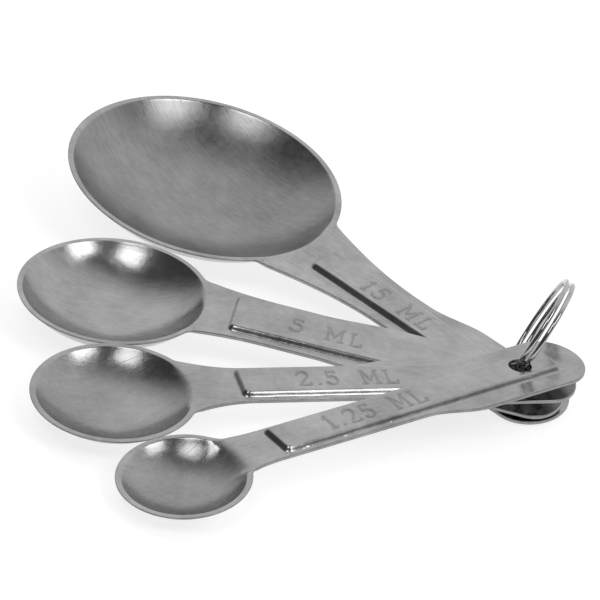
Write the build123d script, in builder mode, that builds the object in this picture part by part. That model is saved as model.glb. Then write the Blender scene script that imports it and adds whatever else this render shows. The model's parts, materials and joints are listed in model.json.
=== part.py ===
from build123d import *

import os
from math import acos, cos, degrees, radians, sin, sqrt, tan

os.makedirs("parts", exist_ok=True)

# A set of four stamped measuring spoons, fanned out on one split ring and standing on a table.
# Lengths are millimetres and angles degrees. +Z is up and the table is the plane z = 0.
# Each spoon is built where it lies. Along a spoon, reach is measured from the middle of the bowl's rim
# towards the tip of the handle. The model's origin is the middle of the set's plan, on the table.

NAMES = ("tablespoon", "teaspoon", "half_teaspoon", "quarter_teaspoon")

# Sheet and pressing, the same on all four
sheet = 0.8
flat_share = 0.15
panel_height = 1.1
panel_wall_angle = 35.0
panel_corner = 1.5
panel_edge_round = 0.4
hole_radius = 2.3
root_overlap = 3.0
over_cut = 12.0

# Bowl: inner radius at the rim, and the slope of the wall where it meets the rim
rim_radius = {"tablespoon": 28.25, "teaspoon": 18.45, "half_teaspoon": 15.25, "quarter_teaspoon": 11.9}
wall_angle = {"tablespoon": 46.0, "teaspoon": 50.5, "half_teaspoon": 45.5, "quarter_teaspoon": 47.0}

# Handle outline: full widths, and the reach where each stretch starts
root_width = {"tablespoon": 25.0, "teaspoon": 19.2, "half_teaspoon": 17.2, "quarter_teaspoon": 11.8}
root_angle = {"tablespoon": 19.0, "teaspoon": 15.0, "half_teaspoon": 25.0, "quarter_teaspoon": 14.0}
waist_width = {"tablespoon": 13.8, "teaspoon": 15.5, "half_teaspoon": 11.0, "quarter_teaspoon": 10.0}
waist_reach = {"tablespoon": 55.0, "teaspoon": 33.0, "half_teaspoon": 27.0, "quarter_teaspoon": 20.0}
shoulder_reach = {"tablespoon": 58.0, "teaspoon": 41.0, "half_teaspoon": 47.0, "quarter_teaspoon": 54.0}
shoulder_length = {"tablespoon": 13.0, "teaspoon": 18.0, "half_teaspoon": 14.0, "quarter_teaspoon": 13.0}
paddle_width = {"tablespoon": 19.0, "teaspoon": 18.4, "half_teaspoon": 15.6, "quarter_teaspoon": 15.8}
hole_reach = {"tablespoon": 84.95, "teaspoon": 81.0, "half_teaspoon": 81.5, "quarter_teaspoon": 80.1}
hole_to_tip = {"tablespoon": 12.4, "teaspoon": 11.2, "half_teaspoon": 13.0, "quarter_teaspoon": 14.5}
tip_round = 7.0

# Raised panel: flat left between the bowl's rim and its start, full widths at its foot, and flat left
# between its end and the tip
rim_to_panel = {"tablespoon": 5.55, "teaspoon": 5.55, "half_teaspoon": 9.25, "quarter_teaspoon": 8.6}
panel_width = {"tablespoon": 9.0, "teaspoon": 12.8, "half_teaspoon": 9.4, "quarter_teaspoon": 8.9}
panel_end_width = {"tablespoon": 9.0, "teaspoon": 9.6, "half_teaspoon": 9.0, "quarter_teaspoon": 7.8}
panel_to_tip = 6.2

# How each spoon lies: the hole in the top face of the handle's edge, the turn of the handle about the
# vertical, its roll, and how far the handle is bent up from the rim. The bowl stands on the table.
hole_x = {"tablespoon": -0.7, "teaspoon": -1.0, "half_teaspoon": -0.6, "quarter_teaspoon": 0.25}
hole_y = {"tablespoon": 6.5, "teaspoon": 3.2, "half_teaspoon": 1.2, "quarter_teaspoon": 0.2}
hole_height = {"tablespoon": 2.65, "teaspoon": 4.55, "half_teaspoon": 7.25, "quarter_teaspoon": 9.85}
turn_angle = {"tablespoon": -36.8, "teaspoon": -4.2, "half_teaspoon": 20.0, "quarter_teaspoon": 40.0}
roll_angle = {"tablespoon": 1.0, "teaspoon": 3.2, "half_teaspoon": 3.5, "quarter_teaspoon": 0.1}
bend_angle = {"tablespoon": 2.5, "teaspoon": -4.7, "half_teaspoon": -4.1, "quarter_teaspoon": -6.9}
settling_steps = 8
quarter_turn = 90.0

# Split ring: two turns of wire with a gap between them, crossing over in one short joggle
wire = 1.0
turn_gap = 0.42
ring_radius = 11.85
ring_x = 3.2
ring_y = 12.75
ring_height = 11.8
ring_heading = -9.7
ring_lean = 22.0
joggle_angle = 18.0
joggle_place = 0.0
gap_samples = 400


def bowl_sizes(name):
    """Flat radius, inner arc radius, depth and outer rim radius of a bowl."""
    flat = flat_share * rim_radius[name]
    slope = radians(wall_angle[name])
    arc = (rim_radius[name] - flat) / sin(slope)
    depth = arc * (1 - cos(slope))
    rim_outer = flat + (arc + sheet) * sin(acos((arc - depth) / (arc + sheet)))
    return flat, arc, depth, rim_outer


def places(name, pitch):
    """Locations of the handle and of the bowl, each with its origin at the middle of the rim."""
    crease = (rim_radius[name] + bowl_sizes(name)[3]) / 2
    hole = Pos(hole_x[name], hole_y[name], hole_height[name])
    lie = Rot(0, 0, turn_angle[name]) * Rot(0, pitch, 0) * Rot(roll_angle[name], 0, 0)
    handle = hole * lie * Pos(-hole_reach[name], 0, 0)
    bowl = handle * Pos(crease, 0, 0) * Rot(0, bend_angle[name], 0) * Pos(-crease, 0, 0)
    return handle, bowl


def settle(name):
    """Tip the spoon about its hole until the underside of its bowl meets the table."""
    flat, arc, depth, rim_outer = bowl_sizes(name)
    pitch = 0.0
    for step in range(settling_steps):
        handle, bowl = places(name, pitch)
        upright = Plane(bowl).z_dir.Z
        lean = acos(upright)
        underside = bowl.position.Z - (arc + sheet) - flat * sin(lean) + (arc - depth) * upright
        pitch -= degrees(underside / hole_reach[name])
    return places(name, pitch)


def section_plane(bowl):
    """Upright plane through the bowl's axis: x runs along the spoon and y up the axis."""
    frame = Plane(bowl)
    return Plane(origin=frame.origin, x_dir=frame.x_dir, z_dir=-frame.y_dir)


def build_spoon(name):
    flat, arc, depth, rim_outer = bowl_sizes(name)
    handle, bowl = settle(name)
    handle_plane = Plane(handle)
    section = section_plane(bowl)
    up = Axis(handle.position, handle_plane.z_dir)
    bowl_axis = Axis(bowl.position, Plane(bowl).z_dir)
    outer_swing = degrees(acos((arc - depth) / (arc + sheet)))
    root_half = root_width[name] / 2
    waist_half = waist_width[name] / 2
    paddle_half = paddle_width[name] / 2
    root_run = Vector(cos(radians(root_angle[name])), -sin(radians(root_angle[name])))
    root = Vector(sqrt(rim_outer**2 - root_half**2), root_half) - root_run * root_overlap
    shoulder_end = shoulder_reach[name] + shoulder_length[name]
    tip = hole_reach[name] + hole_to_tip[name]
    panel_start = rim_radius[name] + rim_to_panel[name]
    panel_end = tip - panel_to_tip
    panel_run = panel_height * tan(radians(panel_wall_angle))
    hollow_inset = sheet * (1 - sin(radians(panel_wall_angle))) / cos(radians(panel_wall_angle))

    with BuildPart() as spoon:
        # Bowl, solid up to the plane of its rim
        with BuildSketch(section):
            with BuildLine():
                floor = Line((0, -depth - sheet), (flat, -depth - sheet))
                wall = CenterArc((flat, arc - depth), arc + sheet, -quarter_turn, outer_swing)
                Polyline(wall @ 1, (0, 0), floor @ 0)
            make_face()
        revolve(axis=bowl_axis)

        # Handle: neck, waist, shoulder, paddle and rounded tip
        with BuildSketch(handle_plane):
            with BuildLine():
                neck = Spline(
                    root,
                    (waist_reach[name], waist_half),
                    tangents=(root_run, (1, 0)),
                )
                waist = Line(neck @ 1, (shoulder_reach[name], waist_half))
                shoulder = Spline(
                    waist @ 1,
                    (shoulder_end, paddle_half),
                    tangents=((1, 0), (1, 0)),
                )
                Line(shoulder @ 1, (tip - tip_round, paddle_half))
                EllipticalCenterArc(
                    (tip - tip_round, 0), tip_round, paddle_half, start_angle=0, arc_size=quarter_turn
                )
                mirror(about=Plane.XZ)
                Line(root, (root.X, -root.Y))
            make_face()
        extrude(amount=-sheet)

        # Raised panel, hollow underneath
        for level, inset, mode in ((0, 0, Mode.ADD), (-sheet, hollow_inset, Mode.SUBTRACT)):
            for height, draw_in in ((0, inset), (panel_height, inset + panel_run)):
                with BuildSketch(handle_plane.offset(level + height)) as outline:
                    with BuildLine():
                        Polyline(
                            (panel_start + draw_in, panel_width[name] / 2 - draw_in),
                            (panel_end - draw_in, panel_end_width[name] / 2 - draw_in),
                            (panel_end - draw_in, draw_in - panel_end_width[name] / 2),
                            (panel_start + draw_in, draw_in - panel_width[name] / 2),
                            close=True,
                        )
                    make_face()
                    fillet(outline.vertices(), radius=panel_corner)
            loft(ruled=True, mode=mode)
            if mode == Mode.ADD:
                fillet(spoon.faces(Select.LAST).sort_by(up)[-1].edges(), radius=panel_edge_round)

        # Inside of the bowl, and everything over it
        with BuildSketch(section):
            with BuildLine():
                floor = Line((0, -depth), (flat, -depth))
                wall = CenterArc((flat, arc - depth), arc, -quarter_turn, wall_angle[name])
                Polyline(wall @ 1, (rim_radius[name], over_cut), (0, over_cut), floor @ 0)
            make_face()
        revolve(axis=bowl_axis, mode=Mode.SUBTRACT)

        # Hole for the ring
        with BuildSketch(handle_plane.offset(panel_height)):
            with Locations((hole_reach[name], 0)):
                Circle(hole_radius)
        extrude(amount=-over_cut, mode=Mode.SUBTRACT)
    return spoon


def build_ring():
    """Two turns about the local z axis, in two flat levels joined by a pair of arcs."""
    pitch = wire + turn_gap
    joggle = radians(joggle_angle)
    flat_turn = 2 * quarter_turn - joggle_angle
    lower = (0, 0, -pitch / 2)
    upper = (0, 0, pitch / 2)
    crossing = (sqrt(ring_radius**2 + pitch**2 / 4), 0, 0)
    upper_start = (ring_radius * cos(joggle), ring_radius * sin(joggle), pitch / 2)

    with BuildPart() as split_ring:
        with BuildLine() as turns:
            first = CenterArc(lower, ring_radius, joggle_angle, flat_turn)
            second = CenterArc(lower, ring_radius, 2 * quarter_turn, flat_turn)
            leaving = TangentArc(second @ 1, crossing, tangent=second % 1)
            TangentArc(crossing, upper_start, tangent=leaving % 1)
            CenterArc(upper, ring_radius, joggle_angle, flat_turn)
            CenterArc(upper, ring_radius, 2 * quarter_turn, flat_turn)
        with BuildSketch(Plane(origin=first @ 0, z_dir=first % 0)):
            Circle(wire / 2)
        sweep()
    return split_ring, turns.line


def least_gap(path):
    """Least gap between the two turns of the ring, measured on points of the wire's middle line."""
    points = [path @ (step / gap_samples) for step in range(gap_samples + 1)]
    third = gap_samples // 3
    return min((a - b).length for i, a in enumerate(points) for b in points[i + third :]) - wire


spoons = {name: build_spoon(name) for name in NAMES}
split_ring, ring_path = build_ring()
ring_stance = Rot(0, 0, ring_heading) * Rot(0, quarter_turn + ring_lean, 0)
ring_place = Pos(ring_x, ring_y, ring_height) * ring_stance
print("least gap between the ring's turns:", round(least_gap(ring_path), 3))

pieces = {name: spoons[name].part for name in NAMES}
pieces["split_ring"] = ring_place * Rot(0, 0, joggle_place) * split_ring.part
extents = [solid.bounding_box() for solid in pieces.values()]
middle_x = (min(box.min.X for box in extents) + max(box.max.X for box in extents)) / 2
middle_y = (min(box.min.Y for box in extents) + max(box.max.Y for box in extents)) / 2
print("plan middle, from the hole of the uppermost spoon:", round(middle_x, 3), round(middle_y, 3))

for name, solid in pieces.items():
    piece = Pos(-middle_x, -middle_y, 0) * solid
    piece.label = name
    export_step(piece, f"parts/{name}.step")
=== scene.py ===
import json
from math import acos, atan2, ceil, cos, degrees, pi, radians, sin, sqrt, tan

import bmesh
import bpy
import numpy as np
from mathutils import Matrix, Vector
from mathutils.geometry import delaunay_2d_cdt


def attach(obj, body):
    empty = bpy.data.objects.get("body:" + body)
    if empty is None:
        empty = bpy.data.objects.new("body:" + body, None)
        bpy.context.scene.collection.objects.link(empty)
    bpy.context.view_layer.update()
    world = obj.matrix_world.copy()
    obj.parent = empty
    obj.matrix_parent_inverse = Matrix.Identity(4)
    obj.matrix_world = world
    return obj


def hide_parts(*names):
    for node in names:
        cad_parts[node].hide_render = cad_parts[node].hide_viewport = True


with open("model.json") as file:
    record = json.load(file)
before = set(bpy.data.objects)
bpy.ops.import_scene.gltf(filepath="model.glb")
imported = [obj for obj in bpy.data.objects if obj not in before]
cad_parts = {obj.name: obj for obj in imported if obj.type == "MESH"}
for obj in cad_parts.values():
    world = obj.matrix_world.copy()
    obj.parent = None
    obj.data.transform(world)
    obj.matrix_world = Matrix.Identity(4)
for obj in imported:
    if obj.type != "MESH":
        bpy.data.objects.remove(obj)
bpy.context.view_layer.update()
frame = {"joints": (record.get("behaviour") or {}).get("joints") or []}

# Four stamped measuring spoons on a split ring. Each spoon is one closed mesh, worked out from the same
# sizes as its solid: lengths are millimetres and angles degrees until place() turns them into metres.
# On a spoon, x runs from the middle of the rim to the tip and z = 0 is the plane of the rim.

NAMES = ("tablespoon", "teaspoon", "half_teaspoon", "quarter_teaspoon")
MM = 0.001

sheet = 0.8
flat_share = 0.15
panel_height = 1.1
panel_wall_angle = 35.0
panel_corner = 1.5
panel_to_tip = 6.2
hole_radius = 2.3
tip_round = 7.0
settling_steps = 8

rim_radius = {"tablespoon": 28.25, "teaspoon": 18.45, "half_teaspoon": 15.25, "quarter_teaspoon": 11.9}
wall_angle = {"tablespoon": 46.0, "teaspoon": 50.5, "half_teaspoon": 45.5, "quarter_teaspoon": 47.0}
root_width = {"tablespoon": 25.0, "teaspoon": 19.2, "half_teaspoon": 17.2, "quarter_teaspoon": 11.8}
root_angle = {"tablespoon": 19.0, "teaspoon": 15.0, "half_teaspoon": 25.0, "quarter_teaspoon": 14.0}
waist_width = {"tablespoon": 13.8, "teaspoon": 15.5, "half_teaspoon": 11.0, "quarter_teaspoon": 10.0}
waist_reach = {"tablespoon": 55.0, "teaspoon": 33.0, "half_teaspoon": 27.0, "quarter_teaspoon": 20.0}
shoulder_reach = {"tablespoon": 58.0, "teaspoon": 41.0, "half_teaspoon": 47.0, "quarter_teaspoon": 54.0}
shoulder_length = {"tablespoon": 13.0, "teaspoon": 18.0, "half_teaspoon": 14.0, "quarter_teaspoon": 13.0}
paddle_width = {"tablespoon": 19.0, "teaspoon": 18.4, "half_teaspoon": 15.6, "quarter_teaspoon": 15.8}
hole_reach = {"tablespoon": 84.95, "teaspoon": 81.0, "half_teaspoon": 81.5, "quarter_teaspoon": 80.1}
hole_to_tip = {"tablespoon": 12.4, "teaspoon": 11.2, "half_teaspoon": 13.0, "quarter_teaspoon": 14.5}
rim_to_panel = {"tablespoon": 5.55, "teaspoon": 5.55, "half_teaspoon": 9.25, "quarter_teaspoon": 8.6}
panel_width = {"tablespoon": 9.0, "teaspoon": 12.8, "half_teaspoon": 9.4, "quarter_teaspoon": 8.9}
panel_end_width = {"tablespoon": 9.0, "teaspoon": 9.6, "half_teaspoon": 9.0, "quarter_teaspoon": 7.8}
hole_x = {"tablespoon": -0.7, "teaspoon": -1.0, "half_teaspoon": -0.6, "quarter_teaspoon": 0.25}
hole_y = {"tablespoon": 6.5, "teaspoon": 3.2, "half_teaspoon": 1.2, "quarter_teaspoon": 0.2}
hole_height = {"tablespoon": 2.65, "teaspoon": 4.55, "half_teaspoon": 7.25, "quarter_teaspoon": 9.85}
turn_angle = {"tablespoon": -36.8, "teaspoon": -4.2, "half_teaspoon": 20.0, "quarter_teaspoon": 40.0}
roll_angle = {"tablespoon": 1.0, "teaspoon": 3.2, "half_teaspoon": 3.5, "quarter_teaspoon": 0.1}
bend_angle = {"tablespoon": 2.5, "teaspoon": -4.7, "half_teaspoon": -4.1, "quarter_teaspoon": -6.9}

wire = 1.0
turn_gap = 0.42
ring_radius = 11.85
ring_x = 3.2
ring_y = 12.75
ring_height = 11.8
ring_heading = -9.7
ring_lean = 22.0
joggle_angle = 18.0
ring_steps = 420
wire_sides = 28
wire_end_rows = ((0, 0.8), (0.1, 0.94), (0.22, 1.0))
end_skip = 3

# What the finished metal adds to the solids: soft creases, rounded cut edges and stamped marks
neck_fillet = 3.0
neck_soft = {"tablespoon": 0.9, "teaspoon": 0.9, "half_teaspoon": 1.1, "quarter_teaspoon": 4.0}
lip_soft = 0.14
lip_land = 0.3
foot_soft = 0.45
crown_soft = 0.55
edge_round = 0.22
side_band = 0.42
bend_spread = 2.5
hole_band = 0.3
hole_round = 0.16

# How finely the finished metal is divided
column_step = 1.0
neck_step = 0.6
fill_step = 1.3
bowl_step = 0.8
rim_zone = 0.4
rim_rings = 12
far_rings_power = 0.9
rim_rings_power = 1.6
neck_overlap = 2.0
loop_step = 0.9
loop_gap = 0.8
loop_end_gap = 0.2
least_corner = 0.02
edge_gap = 0.08
border_gap = 0.12
weld_gap = 0.002
slope_step = 0.01
fillet_sides = 9
tip_sides = 20
corner_sides = 6
edge_steps = 4
hole_sides = 48
edge_samples = 1200
fillet_search_steps = 40
fill_gap_share = 0.55
neck_lines_share = 0.98
first_sheared_row = 6
# Distances of the lines of points that follow each crease: out from the rim, out from the hole's edge, and
# in from the foot of the panel
neck_lines = (0.12, 0.26, 0.42, 0.62, 0.9, 1.3, 1.8, 2.4)
hole_lines = (0.12, 0.3, 0.6)
foot_lines = (-0.35, -0.2, -0.08, 0.04, 0.16, 0.28, 0.4, 0.52, 0.64, 0.76, 0.88, 1.0, 1.15, 1.35)
band_shares = (0.88, 0.7, 0.35)

# How the underside passes the rim: it joins the handle just inside the outer rim, and elsewhere stays clear
under_overlap = 0.4
under_clear = 3.0
under_soft = 0.3
under_handle_soft = 0.5
neck_fade_share = 0.35

# Capacity marks, pressed into the panels: the text, and how far its left end is from the panel's start
mark_text = {
    "tablespoon": "15 ML",
    "teaspoon": "5 ML",
    "half_teaspoon": "2.5 ML",
    "quarter_teaspoon": "1.25 ML",
}
mark_start = 12.0
mark_height = 4.3
mark_stroke = 0.62
mark_depth = 0.2
mark_space = 1.3
mark_mesh = 0.2
mark_margin = 2.0
mark_reach = 0.75
mark_border = 1.2
mark_side_border = 0.5
mark_wall_slope = 1.35
mark_floor_share = 0.2
least_mark_gap = 0.1

# How much the inside of each bowl is darkened with painted shade and made rougher than its handle
bowl_shade_and_dullness = {"tablespoon": 0.3, "teaspoon": 0.0, "half_teaspoon": 0.12, "quarter_teaspoon": 0.2}
# How much the sheared metal is darkened with painted shade and made rougher, along the handles' edges and
# on the bowls' rims
edge_shade_and_dullness = 0.4
bowl_fade = 0.5

# Depths of the fine relief in the materials
brush_depth = 0.06
wave_depth = 0.6
drawn_depth = 0.04


def bowl_sizes(name):
    """Flat radius, inner arc radius, depth and outer rim radius of a bowl."""
    flat = flat_share * rim_radius[name]
    slope = radians(wall_angle[name])
    arc = (rim_radius[name] - flat) / sin(slope)
    depth = arc * (1 - cos(slope))
    rim_outer = flat + (arc + sheet) * sin(acos((arc - depth) / (arc + sheet)))
    return flat, arc, depth, rim_outer


def shift(x, y, z):
    return Matrix.Translation((x, y, z))


def rotate(angle, axis):
    return Matrix.Rotation(radians(angle), 4, axis)


def bowl_place(name, pitch):
    """Matrix of the bowl, measured from the hole of the uppermost spoon."""
    crease = (rim_radius[name] + bowl_sizes(name)[3]) / 2
    handle = (
        shift(hole_x[name], hole_y[name], hole_height[name])
        @ rotate(turn_angle[name], "Z")
        @ rotate(pitch, "Y")
        @ rotate(roll_angle[name], "X")
        @ shift(-hole_reach[name], 0, 0)
    )
    return handle @ shift(crease, 0, 0) @ rotate(bend_angle[name], "Y") @ shift(-crease, 0, 0)


def settle(name):
    """Tip the spoon about its hole until the underside of its bowl meets the table."""
    flat, arc, depth, rim_outer = bowl_sizes(name)
    pitch = 0.0
    for _ in range(settling_steps):
        bowl = bowl_place(name, pitch)
        upright = bowl[2][2]
        lean = acos(upright)
        underside = bowl[2][3] - (arc + sheet) - flat * sin(lean) + (arc - depth) * upright
        pitch -= degrees(underside / hole_reach[name])
    return bowl_place(name, pitch)


def place(points, matrix):
    """Rows of millimetre points through a matrix, then into the row's frame, in metres."""
    m = np.array(matrix)
    return (points @ m[:3, :3].T + m[:3, 3] + to_row) * MM


ring_joint = next(j for j in frame["joints"] if j["name"] == "ring_turn")
to_row = np.array(ring_joint["pos_m"]) / MM - np.array((ring_x, ring_y, ring_height))


def soft_min(a, b, width):
    """The lower of two heights, with the crease between them rounded over that width of height."""
    mix = np.clip(0.5 + 0.5 * (b - a) / width, 0, 1)
    return b + (a - b) * mix - width * mix * (1 - mix)


def soft_max(a, b, width):
    return -soft_min(-a, -b, width)


def ease(value):
    value = np.clip(value, 0, 1)
    return value * value * (3 - 2 * value)


class Glyphs:
    """Plain stroke letters on a box one unit high, as lists of points that a stroke runs through."""

    @staticmethod
    def arc(x, y, rx, ry, start, end, steps=14):
        angles = np.radians(np.linspace(start, end, steps))
        return [(x + rx * cos(a), y + ry * sin(a)) for a in angles]

    @classmethod
    def strokes(cls, letter):
        serif = 0.09
        if letter == "1":
            return 0.36, [[(0.05, 0.78), (0.2, 1), (0.2, 0)], [(0.2 - 0.13, 0), (0.2 + 0.13, 0)]]
        if letter == "2":
            top = cls.arc(0.28, 0.73, 0.25, 0.27, 165, -28)
            return 0.58, [top + [(0.03, 0), (0.56, 0), (0.56, 0.12)]]
        if letter == "5":
            bowl = cls.arc(0.25, 0.31, 0.28, 0.31, 118, -150, 20)
            return 0.58, [[(0.5, 0.88), (0.5, 1), (0.13, 1)] + bowl]
        if letter == ".":
            return 0.16, [[(0.07, 0.03), (0.09, 0.03)]]
        if letter == "M":
            body = [(0.1, 0), (0.1, 1), (0.42, 0.25), (0.74, 1), (0.74, 0)]
            feet = [[(x - serif, 0), (x + serif, 0)] for x in (0.1, 0.74)]
            heads = [[(0.1 - serif, 1), (0.1, 1)], [(0.74, 1), (0.74 + serif, 1)]]
            return 0.84, [body] + feet + heads
        if letter == "L":
            body = [(0.12, 1), (0.12, 0), (0.55, 0), (0.55, 0.2)]
            return 0.6, [body, [(0.12 - serif, 1), (0.12 + serif, 1)], [(0.12 - serif, 0), (0.12, 0)]]
        return 0.5, []


def mark_segments(name):
    """Both ends of every straight bit of the capacity mark, on the spoon's plan."""
    x = rim_radius[name] + rim_to_panel[name] + mark_start
    starts, ends = [], []
    for letter in mark_text[name]:
        width, strokes = Glyphs.strokes(letter)
        for stroke in strokes:
            points = [(x + u * mark_height, (v - 0.5) * mark_height) for u, v in stroke]
            starts += points[:-1]
            ends += points[1:]
        x += width * mark_height + mark_space
    return np.array(starts), np.array(ends), x - mark_space


def stroke_distance(xy, starts, ends):
    """Distance from each point to the nearest stroke."""
    best = np.full(len(xy), np.inf)
    for a, b in zip(starts, ends):
        along = b - a
        t = np.clip(((xy - a) @ along) / max(along @ along, 1e-9), 0, 1)
        best = np.minimum(best, np.linalg.norm(xy - a - t[:, None] * along, axis=1))
    return best


def grid_quads(rows, columns):
    """Faces between rows of points that each close into a loop."""
    return [
        (
            row * columns + column,
            row * columns + (column + 1) % columns,
            (row + 1) * columns + (column + 1) % columns,
            (row + 1) * columns + column,
        )
        for row in range(rows - 1)
        for column in range(columns)
    ]


class Spoon:
    """Heights and plan outline of one spoon, before its handle is bent and the spoon is laid down."""

    def __init__(self, name):
        self.name = name
        self.flat, self.arc, self.depth, self.rim_outer = bowl_sizes(name)
        self.rim = rim_radius[name]
        self.lip = self.rim_outer - self.rim
        self.crease = (self.rim + self.rim_outer) / 2
        self.tip = hole_reach[name] + hole_to_tip[name]
        self.panel_start = self.rim + rim_to_panel[name]
        self.panel_end = self.tip - panel_to_tip
        self.panel_run = panel_height * tan(radians(panel_wall_angle))
        self.hollow_inset = sheet * (1 - sin(radians(panel_wall_angle))) / cos(radians(panel_wall_angle))
        self.root_half = root_width[name] / 2
        self.root_x = sqrt(self.rim_outer**2 - self.root_half**2)
        self.mark_starts, self.mark_ends, self.mark_right = mark_segments(name)
        self.find_fillet()

    def half_width(self, x):
        """Half the handle's width along its straight-sided part, and its slope."""
        name = self.name
        waist, paddle = waist_width[name] / 2, paddle_width[name] / 2
        x0, x1 = self.root_x, waist_reach[name]
        span = x1 - x0
        t = np.clip((x - x0) / span, 0, 1)
        fall = -tan(radians(root_angle[name])) * span
        neck = self.root_half * (2 * t**3 - 3 * t**2 + 1) + fall * (t**3 - 2 * t**2 + t)
        neck += waist * (3 * t**2 - 2 * t**3)
        before = self.root_half + (x - x0) * -tan(radians(root_angle[name]))
        neck = np.where(x < x0, before, neck)
        return neck + (paddle - waist) * ease((x - shoulder_reach[name]) / shoulder_length[name])

    def find_fillet(self):
        """Angle on the rim where the neck's fillet starts, its centre, and where it meets the neck."""
        xs = np.linspace(self.rim_outer * 0.7, self.rim_outer + 4 * neck_fillet, edge_samples)
        edge = np.stack([xs, self.half_width(xs)], 1)
        reach = self.rim_outer + neck_fillet
        low, high = 0.02, 1.2
        for _ in range(fillet_search_steps):
            angle = (low + high) / 2
            centre = reach * np.array((cos(angle), sin(angle)))
            gap = np.linalg.norm(edge - centre, axis=1)
            inside = centre[1] < np.interp(centre[0], xs, edge[:, 1])
            if inside or gap.min() < neck_fillet:
                low = angle
            else:
                high = angle
        self.fillet_angle = angle
        self.fillet_centre = centre
        self.fillet_end = edge[gap.argmin()]

    def inside_panel(self, x, y):
        """Distance inside the panel's foot line, rounded at its corners."""
        name = self.name
        start, end = panel_width[name] / 2, panel_end_width[name] / 2
        share = (x - self.panel_start) / (self.panel_end - self.panel_start)
        across = start + (end - start) * share - np.abs(y)
        along = np.minimum(x - self.panel_start, self.panel_end - x)
        corner = np.maximum(panel_corner - along, 0) ** 2 + np.maximum(panel_corner - across, 0) ** 2
        rounded = panel_corner - np.sqrt(corner)
        return np.where(np.maximum(along, across) > panel_corner, np.minimum(along, across), rounded)

    def wall(self, inside):
        """Height of the raised panel, by the distance inside its foot line."""
        ramp = inside * panel_height / self.panel_run
        return soft_min(soft_max(ramp, 0 * ramp, foot_soft), 0 * ramp + panel_height, crown_soft)

    def neck_share(self, x, y):
        """1 where the handle leaves the bowl, 0 along the free rim."""
        angle = np.abs(np.arctan2(y, x))
        return ease((self.fillet_angle - angle) / (neck_fade_share * self.fillet_angle))

    def bowl(self, r, radius):
        """Height of an arc-sided bowl, going on at its rim's slope beyond the rim."""
        edge = self.rim if radius == self.arc else self.rim_outer
        run = np.clip(np.minimum(r, edge) - self.flat, 0, None)
        height = self.arc - self.depth - np.sqrt(radius**2 - run**2)
        last = edge - self.flat
        return height + np.maximum(r - edge, 0) * last / sqrt(radius**2 - last**2)

    def top(self, x, y):
        """Height of the upper face, with the capacity mark pressed in."""
        r = np.hypot(x, y)
        soft = lip_soft + (neck_soft[self.name] - lip_soft) * self.neck_share(x, y)
        height = soft_min(self.bowl(r, self.arc), 0 * r, soft)
        inside = self.inside_panel(x, y)
        height += self.wall(inside)
        near = (x > self.panel_start) & (x < self.mark_right + mark_margin) & (np.abs(y) < mark_height)
        if near.any():
            xy = np.stack([x[near], y[near]], 1)
            gap = stroke_distance(xy, self.mark_starts, self.mark_ends)
            height[near] -= mark_depth * (1 - ease(gap / mark_stroke * mark_wall_slope - mark_floor_share))
        return height

    def bottom(self, x, y):
        """Height of the underside."""
        r = np.hypot(x, y)
        beyond = ease(r - self.rim_outer + under_overlap)
        handle = np.maximum(self.neck_share(x, y), beyond)
        under = -sheet * handle + under_clear * (1 - handle)
        width = under_soft + under_handle_soft * handle
        height = soft_min(self.bowl(r, self.arc + sheet), under, width)
        return height + self.wall(self.inside_panel(x, y) - self.hollow_inset)

    def outline(self):
        """Half the plan outline from the far rim to the tip, with the cut edge's bands and heights."""
        step_angle = column_step / self.rim_outer
        count = ceil((pi - self.fillet_angle) / step_angle)
        angles = np.linspace(pi, self.fillet_angle, count + 1)
        rim = np.stack([np.cos(angles), np.sin(angles)], 1)
        points, normals = [rim * self.rim_outer], [-rim]

        # the fillet between the rim and the neck
        to_neck = self.fillet_end - self.fillet_centre
        first, last = self.fillet_angle + pi, atan2(to_neck[1], to_neck[0]) % (2 * pi)
        sweep = np.linspace(first, last, fillet_sides + 1)[1:]
        turned = np.stack([np.cos(sweep), np.sin(sweep)], 1)
        points.append(self.fillet_centre + neck_fillet * turned)
        normals.append(turned)

        # the side of the handle
        x_start, x_end = self.fillet_end[0], self.tip - tip_round
        xs = np.linspace(x_start, x_end, ceil((x_end - x_start) / column_step) + 1)[1:]
        rise = self.half_width(xs + slope_step) - self.half_width(xs - slope_step)
        slope = rise / (2 * slope_step)
        points.append(np.stack([xs, self.half_width(xs)], 1))
        normals.append(np.stack([slope, -np.ones_like(slope)], 1) / np.hypot(slope, 1)[:, None])

        # the rounded tip
        half = paddle_width[self.name] / 2
        around = np.radians(np.linspace(90, 0, tip_sides + 1))[1:]
        points.append(np.stack([x_end + tip_round * np.cos(around), half * np.sin(around)], 1))
        inward = np.stack([-np.cos(around) / tip_round, -np.sin(around) / half], 1)
        normals.append(inward / np.linalg.norm(inward, axis=1)[:, None])

        points, normals = np.concatenate(points), np.concatenate(normals)
        run = np.concatenate([[0], np.cumsum(np.linalg.norm(np.diff(points, axis=0), axis=1))])
        past = run - run[len(rim) - 1]
        widths = self.lip + (side_band - self.lip) * ease(past / (2 * neck_fillet))
        land = lip_land + (sheet - lip_land) * ease(past / neck_fillet)
        return points, normals, widths, land, len(rim)

    def rounded_corner(self, before, corner, after, radius):
        """Points of a rounded corner between two straight runs, for many columns at once."""
        to_before, to_after = before - corner, after - corner
        before_length = np.linalg.norm(to_before, axis=1)[:, None]
        after_length = np.linalg.norm(to_after, axis=1)[:, None]
        nearly_half = 0.48
        start = corner + to_before / before_length * np.minimum(radius, nearly_half * before_length)
        end = corner + to_after / after_length * np.minimum(radius, nearly_half * after_length)
        return [
            start * (1 - t) ** 2 + corner * 2 * t * (1 - t) + end * t**2
            for t in np.linspace(0, 1, edge_steps + 1)
        ]

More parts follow.
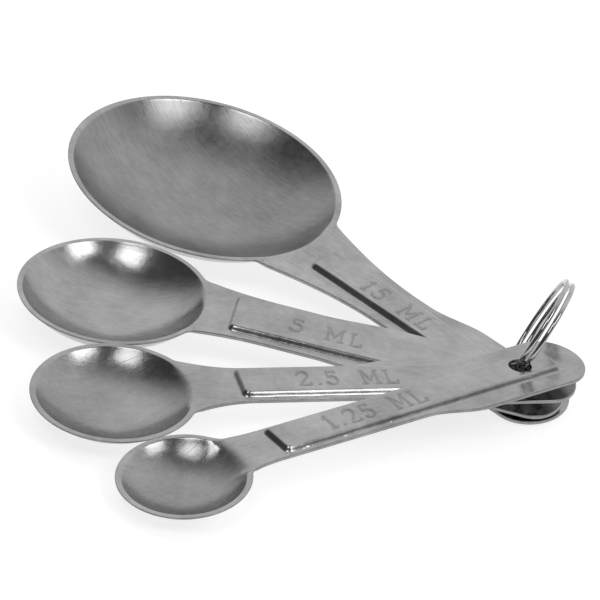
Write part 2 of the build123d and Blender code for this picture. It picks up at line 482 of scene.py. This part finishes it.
    def band(self, points, normals, widths, land, radius):
        """Rows of points round a cut edge, from the top face over the edge to the underside."""
        inner = points + normals * widths[:, None]
        z_top, z_bottom = self.top(*inner.T), self.bottom(*inner.T)
        count = len(points)
        edge_top = self.top(*points.T)
        section = {
            "top": np.stack([widths, z_top], 1),
            "bottom": np.stack([widths, z_bottom], 1),
            "upper": np.stack([np.zeros(count), edge_top], 1),
            "lower": np.stack([np.zeros(count), edge_top - land], 1),
        }
        rows = [section["top"]]
        for share in band_shares:
            depth_in = radius + (widths - radius) * share
            at = points + normals * depth_in[:, None]
            rows.append(np.stack([depth_in, self.top(*at.T)], 1))
        rows += self.rounded_corner(section["top"], section["upper"], section["lower"], radius)
        rows += self.rounded_corner(section["upper"], section["lower"], section["bottom"], radius)
        rows.append(section["bottom"])
        return [
            np.column_stack([points + normals * row[:, :1], row[:, 1]])
            for row in rows
        ], inner

    def panel_loops(self, inset):
        """Closed lines that follow the panel's foot at different distances inside it."""
        name = self.name
        start, end = panel_width[name] / 2, panel_end_width[name] / 2
        x0, x1 = self.panel_start, self.panel_end
        c = panel_corner
        arc = np.radians(np.linspace(0, 90, corner_sides + 1))
        loops = []
        for offset in inset:
            side = np.arange(x0 + c + loop_step, x1 - c - loop_gap, loop_step)
            taper = start + (end - start) * (side - x0) / (x1 - x0)
            near = start + (end - start) * c / (x1 - x0)
            far = end - (end - start) * c / (x1 - x0)
            r = max(c - offset, least_corner)
            first = np.stack([x0 + c - r * np.cos(arc), near - c + r * np.sin(arc)], 1)
            long = np.stack([side, taper - offset], 1)
            last = np.stack([x1 - c + r * np.sin(arc), far - c + r * np.cos(arc)], 1)
            half = np.concatenate([first, long, last])
            across = np.arange(-(near - c) + loop_step / 2, near - c - loop_end_gap, loop_step)
            ends = np.concatenate([
                np.stack([np.full(len(across), x0 + offset), across], 1),
                np.stack([np.full(len(across), x1 - offset), across], 1),
            ])
            loops += [half, half * (1, -1), ends]
        return np.concatenate(loops)

    def fill_points(self, inner, inset, marks):
        """Plan points inside the handle, closer together where the metal curves."""
        spread = [self.panel_loops(inset)]
        reach = self.fillet_angle * neck_lines_share
        for out in neck_lines:
            angles = np.linspace(-reach, reach, 2 * ceil(reach * self.rim / neck_step / 2) + 1)
            spread.append((self.rim + out) * np.stack([np.cos(angles), np.sin(angles)], 1))
        around = np.linspace(0, 2 * pi, hole_sides, endpoint=False)
        for out in hole_lines:
            r = hole_radius + hole_band + out
            spread.append(np.stack([hole_reach[self.name] + r * np.cos(around), r * np.sin(around)], 1))
        dense = np.concatenate(spread)
        grids = [dense]
        if marks:
            x0 = self.panel_start + mark_start - mark_border
            xs = np.arange(x0, self.mark_right + mark_border, mark_mesh)
            side = mark_height / 2 + mark_side_border
            ys = np.arange(-side, side + mark_mesh / 4, mark_mesh)
            grid = np.stack(np.meshgrid(xs, ys), -1).reshape(-1, 2)
            grids.append(grid[stroke_distance(grid, self.mark_starts, self.mark_ends) < mark_reach])
        xs = np.arange(self.root_x - neck_overlap, self.tip, fill_step)
        rows = ceil(self.root_half / fill_step)
        ys = np.arange(-rows, rows + 1) * fill_step
        coarse = np.stack(np.meshgrid(xs, ys), -1).reshape(-1, 2)
        grids.append(self.away_from(coarse, np.concatenate(grids), fill_gap_share * fill_step))
        points = np.concatenate(grids)
        r = np.hypot(*points.T)
        hole_gap = np.hypot(points[:, 0] - hole_reach[self.name], points[:, 1])
        keep = (r > self.rim + edge_gap) & (hole_gap > hole_radius + hole_band + edge_gap)
        points = points[keep]
        points = points[self.inside(points, inner)]
        return self.away_from(points, inner, border_gap)

    @staticmethod
    def away_from(points, others, gap):
        """The points that are farther than the gap from all others, worked out a batch at a time."""
        batch = 500
        keep = np.ones(len(points), bool)
        for first in range(0, len(points), batch):
            part = points[first : first + batch]
            near = np.linalg.norm(part[:, None] - others[None], axis=2).min(1)
            keep[first : first + batch] = near > gap
        return points[keep]

    @staticmethod
    def inside(points, loop):
        """Which points are inside a closed loop."""
        x, y = points.T
        odd = np.zeros(len(points), bool)
        for (ax, ay), (bx, by) in zip(loop, np.roll(loop, -1, axis=0)):
            if ay != by:
                cross = ((ay > y) != (by > y)) & (x < (bx - ax) * (y - ay) / (by - ay) + ax)
                odd ^= cross
        return odd

    def handle_faces(self, border, fills):
        """Triangles between the border, the hole and the points inside."""
        around = np.linspace(0, 2 * pi, hole_sides, endpoint=False)
        hole_edge = hole_radius + hole_band
        hole = np.stack([hole_reach[self.name] + hole_edge * np.cos(around), hole_edge * np.sin(around)], 1)
        plan = np.concatenate([border, hole, fills])
        first = len(border)
        edges = [(i, (i + 1) % first) for i in range(first)]
        edges += [(first + i, first + (i + 1) % hole_sides) for i in range(hole_sides)]
        result = delaunay_2d_cdt([Vector(point) for point in plan.tolist()], edges, [], 0, 1e-6)
        verts = np.array(result[0])
        faces = np.array([face for face in result[2] if len(face) == 3])
        middle = verts[faces].mean(1)
        chord_share = 0.998
        from_hole = np.hypot(middle[:, 0] - hole_reach[self.name], middle[:, 1])
        outside_hole = from_hole > hole_edge * chord_share
        keep = self.inside(middle, border) & outside_hole
        return verts, faces[keep]

    def bend_up(self, points):
        """Turn what is beyond the crease to the handle's own slope."""
        x, y, z = points.T
        angle = radians(-bend_angle[self.name]) * ease((x - self.crease + bend_spread) / (2 * bend_spread))
        reach = x - self.crease
        return np.stack([
            self.crease + reach * np.cos(angle) + z * np.sin(angle),
            y,
            z * np.cos(angle) - reach * np.sin(angle),
        ], 1)

    def recess(self, points):
        """How deep a point lies in the capacity mark, from 0 to 1; the material darkens the marks by it as
        painted shade.
        """
        x, y, z = points.T
        sunk = np.clip(self.wall(self.inside_panel(x, y)) - z, 0, mark_depth) / mark_depth
        upper = z > panel_height - 2 * mark_depth
        hole_gap = np.hypot(x - hole_reach[self.name], y)
        past_hole = hole_gap > hole_radius + hole_band + least_mark_gap
        return np.where(upper & past_hole, sunk, 0)

    def shade_and_dullness_in_bowl(self, points):
        """How much painted shade and extra roughness the metal gets: the inside of the bowl, fading in just
        inside its rim.
        """
        x, y, z = points.T
        upper_face = z > self.bottom(x, y) + sheet / 2
        in_bowl = 1 - ease((np.hypot(x, y) - self.rim + bowl_fade) / bowl_fade)
        return bowl_shade_and_dullness[self.name] * np.where(upper_face, in_bowl, 0)

    def build(self):
        """The spoon's closed mesh as an object, laid down in the row's frame."""
        points, normals, widths, land, rim_count = self.outline()
        mirror = (1, -1)
        points = np.concatenate([points, points[-2:0:-1] * mirror])
        normals = np.concatenate([normals, normals[-2:0:-1] * mirror])
        widths = np.concatenate([widths, widths[-2:0:-1]])
        land = np.concatenate([land, land[-2:0:-1]])
        count = len(points)
        rows, inner = self.band(points, normals, widths, land, edge_round)
        bowl_columns = np.r_[np.arange(rim_count), np.arange(count - rim_count + 1, count)]
        handle_columns = np.arange(rim_count - 1, count - rim_count + 2)

        # columns of the bowl: those of its free rim, and more across the neck
        free_angles = np.arctan2(*inner[bowl_columns].T[::-1])
        neck_count = 2 * ceil(self.fillet_angle * self.rim / neck_step / 2)
        neck_angles = np.linspace(-self.fillet_angle, self.fillet_angle, neck_count + 1)[1:-1]
        spokes = np.sort(np.concatenate([free_angles, neck_angles]))
        neck_arc = self.rim * np.stack([np.cos(neck_angles), np.sin(neck_angles)], 1)
        border = np.concatenate([inner[handle_columns], neck_arc])

        verts, faces = [], []

        def add(coordinates, polygons):
            base = sum(len(v) for v in verts)
            verts.append(coordinates)
            faces.extend([base + i for i in polygon] for polygon in polygons)

        # cut edge
        grid = np.stack(rows)
        levels = len(rows)
        add(grid.reshape(-1, 3), grid_quads(levels, count))

        # both faces of the bowl
        soft = neck_soft[self.name]
        fine_zone = 2 * soft + rim_zone
        far = np.linspace(0, 1, ceil(self.rim / bowl_step))[1:] ** far_rings_power * (self.rim - fine_zone)
        close = self.rim - np.linspace(1, 0, rim_rings)[1:] ** rim_rings_power * fine_zone
        radii = np.concatenate([far, close])
        radii[-1] = self.rim
        spoke_count = len(spokes)
        directions = np.stack([np.cos(spokes), np.sin(spokes)], 1)
        disc = np.concatenate([[(0.0, 0.0)]] + [radius * directions for radius in radii])
        for height, order in ((self.top, 1), (self.bottom, -1)):
            polygons = [(0, 1 + j, 1 + (j + 1) % spoke_count)[::order] for j in range(spoke_count)]
            polygons += [
                (1 + a, 1 + d, 1 + c, 1 + b)[::order] for a, b, c, d in grid_quads(len(radii), spoke_count)
            ]
            add(np.column_stack([disc, height(*disc.T)]), polygons)

        # both faces of the handle
        for height, inset, marks, order in (
            (self.top, foot_lines, True, 1),
            (self.bottom, [line + self.hollow_inset for line in foot_lines], False, -1),
        ):
            plan, triangles = self.handle_faces(border, self.fill_points(border, inset, marks))
            add(np.column_stack([plan, height(*plan.T)]), [tuple(t)[::order] for t in triangles.tolist()])

        # edge of the hole
        around = np.linspace(0, 2 * pi, hole_sides, endpoint=False)
        out = np.stack([np.cos(around), np.sin(around)], 1)
        ring = np.array((hole_reach[self.name], 0)) + hole_radius * out
        z_top = float(self.top(ring[:, 0], ring[:, 1]).mean())
        thick = np.full(hole_sides, z_top) - self.bottom(*ring.T)
        hole_rows = self.band(ring, out, np.full(hole_sides, hole_band), thick, hole_round)[0]
        quads = [(a, d, c, b) for a, b, c, d in grid_quads(len(hole_rows), hole_sides)]
        add(np.concatenate(hole_rows), quads)

        flat_shape = np.concatenate(verts)
        mesh = bpy.data.meshes.new(self.name + "_steel")
        mesh.from_pydata(place(self.bend_up(flat_shape), settle(self.name)).tolist(), [], faces)
        uv = mesh.uv_layers.new(name="plan")
        index = np.empty(len(mesh.loops), int)
        mesh.loops.foreach_get("vertex_index", index)
        uv.data.foreach_set("uv", (flat_shape[:, :2] * MM)[index].ravel())

        # the rows of the cut edge between its two rounded corners are sheared metal: darkened with painted
        # shade and made rougher
        shade_and_dullness = self.shade_and_dullness_in_bowl(flat_shape)
        sheared = slice(first_sheared_row * count, (levels - 2) * count)
        shade_and_dullness[sheared] = np.maximum(shade_and_dullness[sheared], edge_shade_and_dullness)
        # colour masks: painted shade with extra roughness, and painted shade in the pressed marks
        for attribute, values in (("shade_and_dullness", shade_and_dullness), ("recess", self.recess(flat_shape))):
            layer = mesh.attributes.new(attribute, "FLOAT", "POINT")
            layer.data.foreach_set("value", values.astype(np.float32))

        weld = bmesh.new()
        weld.from_mesh(mesh)
        bmesh.ops.remove_doubles(weld, verts=weld.verts, dist=weld_gap * MM)
        bmesh.ops.recalc_face_normals(weld, faces=weld.faces)
        weld.to_mesh(mesh)
        open_edges = sum(1 for edge in weld.edges if not edge.is_manifold)
        weld.free()
        mesh.shade_smooth()
        print(self.name, "faces", len(mesh.polygons), "open edges", open_edges)
        piece = bpy.data.objects.new(self.name + "_shell", mesh)
        bpy.context.scene.collection.objects.link(piece)
        return piece


def ring_line():
    """Points on the wire's middle line: two flat turns, joined by a short cross-over."""
    pitch = wire + turn_gap
    joggle = radians(joggle_angle)
    turns = np.linspace(joggle, 4 * pi - joggle, ring_steps)
    # the wire crosses over from one joggle before the full turn to one after it
    share = ease((turns - (2 * pi - joggle)) / (2 * joggle))
    z = -pitch / 2 + pitch * share
    return np.stack([ring_radius * np.cos(turns), ring_radius * np.sin(turns), z], 1)


def ring_matrix():
    return (
        shift(ring_x, ring_y, ring_height)
        @ rotate(ring_heading, "Z")
        @ rotate(90 + ring_lean, "Y")
    )


def build_ring():
    """The split ring's wire, with blunt rounded ends."""
    line = ring_line()
    along = np.gradient(line, axis=0)
    along /= np.linalg.norm(along, axis=1)[:, None]
    outward = line * (1, 1, 0)
    outward -= (outward * along).sum(1)[:, None] * along
    outward /= np.linalg.norm(outward, axis=1)[:, None]
    side = np.cross(along, outward)
    around = np.linspace(0, 2 * pi, wire_sides, endpoint=False)
    rows = []
    for at, share in wire_end_rows:
        rows.append((line[0] + along[0] * (at * wire / 2), outward[0], side[0], share))
    for i in range(end_skip, len(line) - end_skip):
        rows.append((line[i], outward[i], side[i], 1.0))
    for at, share in wire_end_rows[::-1]:
        rows.append((line[-1] - along[-1] * (at * wire / 2), outward[-1], side[-1], share))
    verts = np.array([
        point + wire / 2 * share * (cos(angle) * out + sin(angle) * aside)
        for point, out, aside, share in rows
        for angle in around
    ])
    faces = grid_quads(len(rows), wire_sides)
    faces.append(tuple(range(wire_sides))[::-1])
    faces.append(tuple(range((len(rows) - 1) * wire_sides, len(rows) * wire_sides)))
    mesh = bpy.data.meshes.new("split_ring_wire")
    mesh.from_pydata(place(verts, ring_matrix()).tolist(), [], faces)
    mesh.shade_smooth()
    piece = bpy.data.objects.new("split_ring_wire", mesh)
    bpy.context.scene.collection.objects.link(piece)
    return piece


class Shader:
    """Short calls that add nodes to a material's or the world's tree."""

    def __init__(self, tree):
        self.tree = tree

    def node(self, kind, settings=(), **inputs):
        node = self.tree.nodes.new("ShaderNode" + kind)
        for key, value in dict(settings).items():
            setattr(node, key, value)
        for key, value in inputs.items():
            socket = int(key[1:]) if key[1:].isdigit() else key.replace("_", " ")
            self.put(node.inputs[socket], value)
        return node

    def put(self, socket, value):
        if hasattr(value, "is_output"):
            self.tree.links.new(value, socket)
        else:
            socket.default_value = value

    def math(self, operation, a, b):
        return self.node("Math", {"operation": operation}, _0=a, _1=b).outputs[0]

    def noise(self, vector, scale, detail=4.0, roughness=0.55):
        node = self.node("TexNoise", {}, Vector=vector, Scale=scale, Detail=detail, Roughness=roughness)
        return node.outputs["Fac"]

    def spread(self, value, low, high, out_low, out_high):
        node = self.node("MapRange", {}, Value=value)
        bounds = {"From Min": low, "From Max": high, "To Min": out_low, "To Max": out_high}
        for socket, bound in bounds.items():
            node.inputs[socket].default_value = bound
        return node.outputs[0]

    def mapped(self, vector, turn_z=0.0, scale=(1, 1, 1)):
        node = self.node("Mapping", {}, Vector=vector)
        node.inputs["Rotation"].default_value = (0, 0, radians(turn_z))
        node.inputs["Scale"].default_value = scale
        return node.outputs[0]


def new_material(name):
    material = bpy.data.materials.new(name)
    material.use_nodes = True
    tree = material.node_tree
    tree.nodes.clear()
    shader = Shader(tree)
    surface = shader.node("BsdfPrincipled")
    output = shader.node("OutputMaterial")
    tree.links.new(surface.outputs[0], output.inputs["Surface"])
    return material, shader, surface


def spoon_steel(name, brush_turn, brush_show):
    """Worn satin stainless: brushing in one direction, fine crossing scratches, soft stains, and painted
    shade darkening the bowls' insides, the cut edges and the pressed marks.
    """
    material, s, surface = new_material("worn_steel_and_painted_shade_" + name)
    plan = s.node("UVMap", {"uv_map": "plan"}).outputs[0]
    place_in_metal = s.node("TexCoord").outputs["Object"]
    brushed = s.noise(s.mapped(plan, brush_turn, (180, 3200, 1)), 1.0, 3.0)
    scratched = s.noise(s.mapped(plan, brush_turn + 38, (120, 5200, 1)), 1.0, 2.0)
    crossing = s.noise(s.mapped(plan, brush_turn - 57, (90, 4200, 1)), 1.0, 2.0)
    cloudy = s.noise(place_in_metal, 90.0, 5.0)
    mottled = s.noise(place_in_metal, 700.0, 4.0, 0.65)
    fine = s.spread(scratched, 0.62, 0.72, 0.0, 1.0)
    rare = s.spread(crossing, 0.66, 0.74, 0.0, 1.0)
    streaks = s.math("MULTIPLY", s.math("SUBTRACT", brushed, 0.5), brush_show)
    tone = s.math("ADD", streaks, s.math("MULTIPLY", cloudy, 0.5))
    tone = s.math("ADD", tone, s.math("MULTIPLY", mottled, 0.2))
    recess = s.node("Attribute", {"attribute_name": "recess"}).outputs["Fac"]
    shade = s.spread(tone, 0.2, 0.5, 0.29, 0.52)
    shade = s.math("SUBTRACT", shade, s.math("MULTIPLY", fine, 0.09))
    # painted shade: the pressed capacity marks are darkened, to 70% where they are deepest
    shade = s.math("MULTIPLY", shade, s.spread(recess, 0.15, 1.0, 1.0, 0.7))
    # painted shade: the bowls' insides and the cut edges are darkened, down to 30%; the same mask also
    # makes them rougher
    shade_and_dullness = s.node("Attribute", {"attribute_name": "shade_and_dullness"}).outputs["Fac"]
    shade = s.math("MULTIPLY", shade, s.spread(shade_and_dullness, 0.0, 1.0, 1.0, 0.3))
    color = s.node("CombineColor", {}, Red=shade, Green=shade, Blue=s.math("MULTIPLY", shade, 1.01))
    s.put(surface.inputs["Base Color"], color.outputs[0])
    surface.inputs["Metallic"].default_value = 1.0
    patches = s.math("ADD", s.math("MULTIPLY", cloudy, 0.6), s.math("MULTIPLY", mottled, 0.4))
    rough = s.spread(patches, 0.3, 0.7, 0.15, 0.27)
    rough = s.math("ADD", rough, s.math("MULTIPLY", rare, 0.08))
    rough = s.math("ADD", rough, s.math("MULTIPLY", shade_and_dullness, 0.3))
    s.put(surface.inputs["Roughness"], rough)
    relief = s.math("ADD", s.math("MULTIPLY", brushed, 0.6), s.math("MULTIPLY", fine, -0.35))
    relief = s.math("ADD", relief, s.math("MULTIPLY", rare, -0.4))
    relief = s.math("ADD", relief, s.math("MULTIPLY", mottled, 0.15))
    bump = s.node("Bump", {}, Strength=0.18, Distance=brush_depth * MM, Height=relief)
    waves = s.node("Bump", {}, Strength=0.22, Distance=wave_depth * MM, Height=cloudy)
    s.put(waves.inputs["Normal"], bump.outputs[0])
    s.put(surface.inputs["Normal"], waves.outputs[0])
    return material


def ring_steel():
    """Bright drawn wire, faintly cloudy."""
    material, s, surface = new_material("bright_wire")
    place_in_metal = s.node("TexCoord").outputs["Object"]
    drawn = s.noise(place_in_metal, 1500.0, 3.0)
    cloudy = s.noise(place_in_metal, 260.0, 3.0)
    shade = s.spread(cloudy, 0.3, 0.7, 0.38, 0.56)
    color = s.node("CombineColor", {}, Red=shade, Green=shade, Blue=s.math("MULTIPLY", shade, 1.01))
    s.put(surface.inputs["Base Color"], color.outputs[0])
    surface.inputs["Metallic"].default_value = 1.0
    s.put(surface.inputs["Roughness"], s.spread(drawn, 0.3, 0.7, 0.07, 0.18))
    bump = s.node("Bump", {}, Strength=0.15, Distance=drawn_depth * MM, Height=drawn)
    s.put(surface.inputs["Normal"], bump.outputs[0])
    return material


# Direction of each spoon's brushing, and how strongly it shows
brush_turns = {"tablespoon": 60.0, "teaspoon": 20.0, "half_teaspoon": 35.0, "quarter_teaspoon": 15.0}
brush_shows = {"tablespoon": 0.32, "teaspoon": 0.14, "half_teaspoon": 0.16, "quarter_teaspoon": 0.14}
for name in NAMES:
    piece = Spoon(name).build()
    piece.data.materials.append(spoon_steel(name, brush_turns[name], brush_shows[name]))
    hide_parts(name)
    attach(piece, name)

ring = build_ring()
ring.data.materials.append(ring_steel())
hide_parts("split_ring")
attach(ring, "split_ring")

# Camera: the photograph's angle and roll. Values of the camera's range, the floor and the lamps are metres.
camera_tilt = 29.34
camera_roll = 9.01
camera_spot = Vector((-0.85, -696.43, 403.11)) * MM
focal_pixels = 4000.0
picture_side = 600.0
film_width = 36.0
nearest, farthest = 0.01, 50.0
tilt, spin = radians(camera_tilt), radians(camera_roll)
level_right = Vector((1, 0, 0))
level_up = Vector((0, sin(tilt), cos(tilt)))
look = Vector((0, cos(tilt), -sin(tilt)))
right = cos(spin) * level_right + sin(spin) * level_up
up = cos(spin) * level_up - sin(spin) * level_right
camera_data = bpy.data.cameras.new("camera")
camera_data.sensor_width = film_width
camera_data.lens = focal_pixels / picture_side * camera_data.sensor_width
camera_data.clip_start, camera_data.clip_end = nearest, farthest
camera = bpy.data.objects.new("camera", camera_data)
turn_matrix = Matrix((right, up, -look)).transposed()
camera.matrix_world = Matrix.Translation(camera_spot) @ turn_matrix.to_4x4()
bpy.context.scene.collection.objects.link(camera)
bpy.context.scene.camera = camera

# Floor: pale, and a shade brighter to the camera and in reflections, so that it is white but for shadows
floor_mesh = bpy.data.meshes.new("floor")
floor_reach = 6.0
corners = [(x * floor_reach, y * floor_reach, 0) for x, y in ((-1, -1), (1, -1), (1, 1), (-1, 1))]
floor_mesh.from_pydata(corners, [], [(0, 1, 2, 3)])
floor = bpy.data.objects.new("floor", floor_mesh)
bpy.context.scene.collection.objects.link(floor)
floor_material = bpy.data.materials.new("pale_floor")
floor_material.use_nodes = True
floor_tree = floor_material.node_tree
floor_tree.nodes.clear()
floor_shader = Shader(floor_tree)
rays = floor_shader.node("LightPath").outputs
seen = floor_shader.math("MAXIMUM", rays["Is Camera Ray"], rays["Is Glossy Ray"])
seen = floor_shader.math("MAXIMUM", seen, rays["Is Transmission Ray"])
diffuse = floor_shader.node("BsdfDiffuse", {}, Color=(0.5, 0.5, 0.5, 1))
strength = floor_shader.math("MULTIPLY", seen, 0.74)
glow = floor_shader.node("Emission", {}, Color=(1, 1, 1, 1), Strength=strength)
both = floor_shader.node("AddShader", {}, _0=diffuse.outputs[0], _1=glow.outputs[0])
floor_tree.links.new(both.outputs[0], floor_shader.node("OutputMaterial").inputs["Surface"])
floor_mesh.materials.append(floor_material)

# Room: dark in front of the object, lighter overhead and behind it
world = bpy.data.worlds.new("room")
bpy.context.scene.world = world
world.use_nodes = True
world.node_tree.nodes.clear()
room = Shader(world.node_tree)
direction = room.node("TexCoord").outputs["Generated"]
toward = room.node("VectorMath", {"operation": "DOT_PRODUCT"}, _0=direction).outputs["Value"]
toward.node.inputs[1].default_value = (0.25, 0.85, 0.45)
level = room.node("MapRange", {"interpolation_type": "SMOOTHSTEP"}, Value=toward).outputs[0]
for socket, value in (("From Min", 0.15), ("From Max", 0.75), ("To Min", 0.08), ("To Max", 0.87)):
    level.node.inputs[socket].default_value = value
background = room.node("Background", {}, Strength=level)
background.inputs["Color"].default_value = (1, 1, 1, 1)
world.node_tree.links.new(background.outputs[0], room.node("OutputWorld").inputs["Surface"])

# Lamps: all of them face one point, just above the floor at the middle of the set
aim = Vector((0, 0, 0.01))


def lamp(name, spot, size, power):
    """A rectangular soft lamp that faces the object."""
    data = bpy.data.lights.new(name, "AREA")
    data.shape = "RECTANGLE"
    data.size, data.size_y = size
    data.energy = power
    light = bpy.data.objects.new(name, data)
    light.location = spot
    light.rotation_mode = "QUATERNION"
    light.rotation_quaternion = (aim - Vector(spot)).to_track_quat("-Z", "Y")
    bpy.context.scene.collection.objects.link(light)


def lamp_spot(heading, height):
    """A point one metre off, at an angle from straight behind the object towards its right."""
    heading, height = radians(heading), radians(height)
    return (sin(heading) * cos(height), cos(heading) * cos(height), sin(height))


lamp("right_window", lamp_spot(125, 47), (0.44, 0.4), 1.9)
lamp("left_window", lamp_spot(204, 57), (0.38, 0.36), 1.3)

bpy.context.scene.view_settings.view_transform = "Standard"
